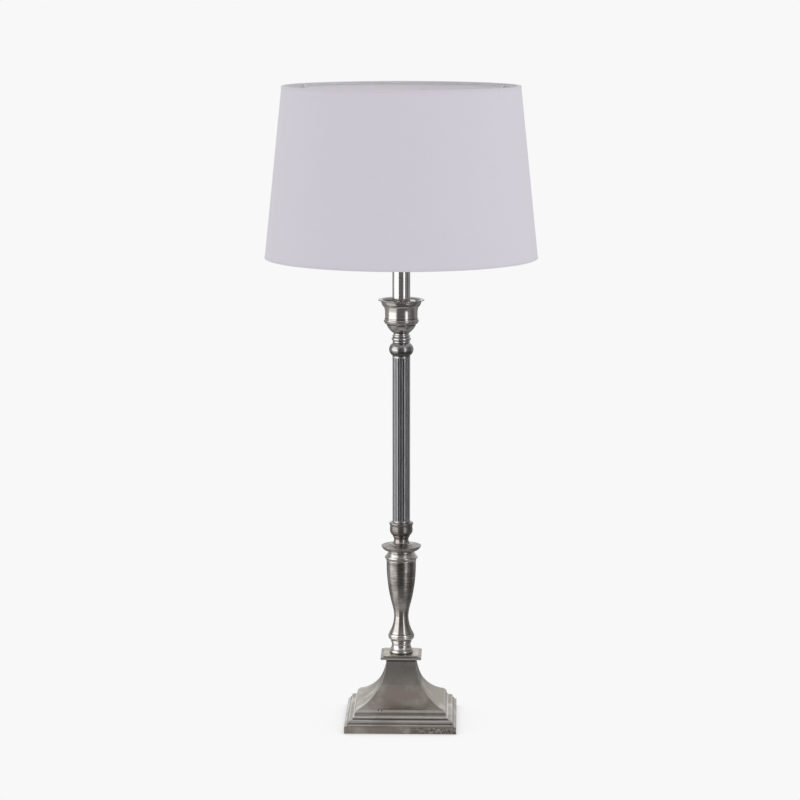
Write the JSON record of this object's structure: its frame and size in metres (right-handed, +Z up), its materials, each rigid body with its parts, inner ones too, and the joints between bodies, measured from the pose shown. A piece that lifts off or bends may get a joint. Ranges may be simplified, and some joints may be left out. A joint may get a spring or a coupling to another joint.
{
  "type": "candlestick table lamp",
  "caption": "Tall candlestick table lamp: square stepped foot, turned baluster, fluted column, candle cup and tube, and a tapered fabric drum shade held between rings on the lampholder.",
  "frame": {"origin": "centre of the foot's underside, on the surface that the lamp stands on", "axes": "+Z up along the stem; -Y is the front seen in the picture; the cord outlet is in the back, at +Y"},
  "size_m": [0.35, 0.35, 0.8284],
  "materials": {
    "felt": "dyed wool felt",
    "black_steel": "black lacquered sheet",
    "zinc_steel": "bright zinc",
    "cast_iron": "raw casting",
    "antique_silver": "plated, patinated dark in the hollows and rubbed bright on the edges",
    "column_silver": "plated, satin, dark patina",
    "black_plastic": "moulded",
    "bright_nickel": "polished nickel, lightly aged",
    "holder_black": "moulded phenolic",
    "insulator": "moulded",
    "shell_brass": "drawn sheet",
    "contact_brass": "stamped strip",
    "white_wire": "white powder coat",
    "shade_fabric": "fine weave laminated to a stiff lining",
    "shade_trim": "self tape turned over the edge"
  },
  "bodies": {
    "stand": {"felt_pad": "felt", "bottom_plate": "black_steel", "plate_screws": "zinc_steel", "ballast_weight": "cast_iron", "base_casting": "antique_silver", "cord_bush": "black_plastic", "rod_washer": "zinc_steel", "rod_nut": "zinc_steel", "stem_rod": "zinc_steel", "cap_plate": "antique_silver", "foot_spool": "antique_silver", "base_ring": "antique_silver", "baluster": "antique_silver", "shoulder_ring": "antique_silver", "drip_disc": "antique_silver", "column_socket": "antique_silver", "fluted_column": "column_silver", "ball_knop": "antique_silver", "ring_knop": "antique_silver", "candle_cup": "antique_silver", "cup_nut": "zinc_steel", "candle_tube": "bright_nickel", "tube_cap": "bright_nickel", "holder_cap": "holder_black", "holder_grub_screw": "zinc_steel", "holder_skirt": "holder_black", "insulator": "insulator", "screw_shell": "shell_brass", "centre_contact": "contact_brass", "side_contact": "contact_brass", "terminal_screws": "contact_brass"},
    "lower_ring": {"lower_shade_ring": "holder_black"},
    "shade": {"top_frame": "white_wire", "bottom_ring": "white_wire", "shade_cover": "shade_fabric", "top_trim": "shade_trim", "bottom_trim": "shade_trim"},
    "upper_ring": {"upper_shade_ring": "holder_black"}
  },
  "joints": [
    {"name": "lower_ring_turn", "type": "hinge", "parent": "stand", "child": "lower_ring", "pos_m": [0, 0, 0.722], "axis": [0, 0, 1], "continuous": true},
    {"name": "shade_lift", "type": "slide", "parent": "lower_ring", "child": "shade", "axis": [0, 0, 1], "range_m": [0, 0.15]},
    {"name": "upper_ring_turn", "type": "hinge", "parent": "shade", "child": "upper_ring", "pos_m": [0, 0, 0.733], "axis": [0, 0, 1], "continuous": true}
  ]
}
